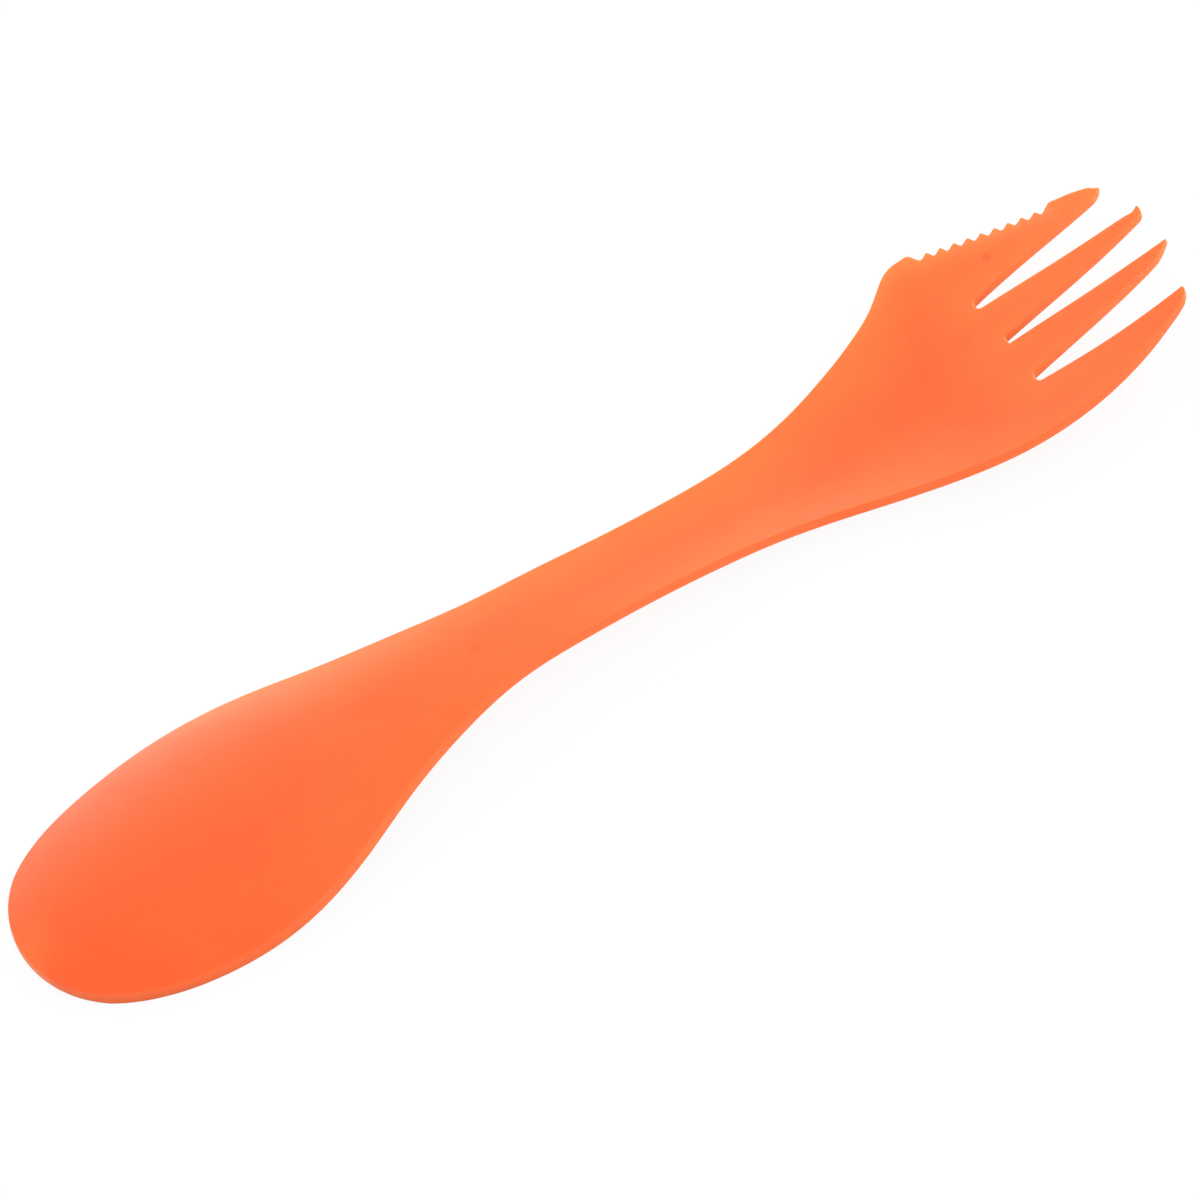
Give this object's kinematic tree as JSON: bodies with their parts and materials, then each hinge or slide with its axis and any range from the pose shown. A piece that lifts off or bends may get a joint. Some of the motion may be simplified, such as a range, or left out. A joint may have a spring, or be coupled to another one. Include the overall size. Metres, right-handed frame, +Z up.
{
  "type": "spork",
  "caption": "Moulded camping spork: a domed spoon and a tined fork with a serrated cutting edge, back to back on a slim waisted handle.",
  "frame": {"origin": "on the table, below the middle of the spork's bounding box", "axes": "+X along the body from the spoon's tip to the fork's tips, +Y across it towards the serrated edge, +Z up, with the spoon's back and the fork's hollow facing up"},
  "size_m": [0.1698, 0.0392, 0.0102],
  "materials": {
    "orange_plastic": "satin moulded orange plastic, slightly translucent at its thin edges"
  },
  "bodies": {
    "root": {"spoon_bowl": "orange_plastic", "spoon_neck": "orange_plastic", "handle_grip": "orange_plastic", "fork_neck": "orange_plastic", "fork_palm": "orange_plastic", "serrated_tine": "orange_plastic", "far_middle_tine": "orange_plastic", "near_middle_tine": "orange_plastic", "near_side_tine": "orange_plastic"}
  },
  "joints": []
}
